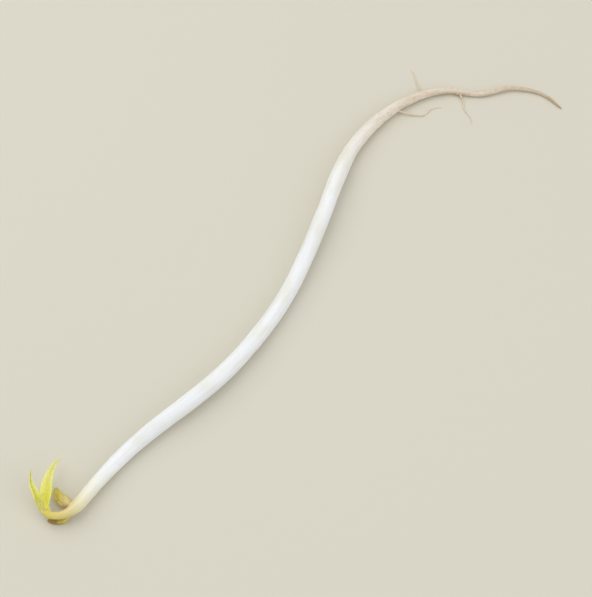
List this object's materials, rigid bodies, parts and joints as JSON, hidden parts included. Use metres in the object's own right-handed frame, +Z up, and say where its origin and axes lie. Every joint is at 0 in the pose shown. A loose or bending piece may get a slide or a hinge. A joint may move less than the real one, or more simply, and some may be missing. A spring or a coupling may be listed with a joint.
{
  "type": "mung bean sprout",
  "caption": "Mung bean sprout lying down: long white stem, hooked yellow neck with folded leaves and shrivelled seed leaves, tapering tan root with fine side roots.",
  "frame": {"origin": "bottom centre of the box of the sprout as it lies on a flat surface", "axes": "+Z up from the surface, +X from the head's side to the root tip's side, +Y from the head's end to the root's end"},
  "size_m": [0.0934, 0.089, 0.0053],
  "materials": {
    "stem": "moist, smooth, slightly see-through white plant skin",
    "root": "tan, finely wrinkled root skin",
    "neck": "moist pale yellow plant skin",
    "leaf": "thin bright yellow leaf with a midrib and side veins",
    "seed_leaf": "shrivelled yellow to tan seed leaf"
  },
  "bodies": {
    "root": {"stem": "stem", "root": "root", "side_root_1": "root", "side_root_2": "root", "side_root_3": "root", "neck": "neck", "terminal_bud": "neck", "leaf_left": "leaf", "leaf_right": "leaf", "cotyledon_upper": "seed_leaf", "cotyledon_lower": "seed_leaf"}
  },
  "joints": []
}
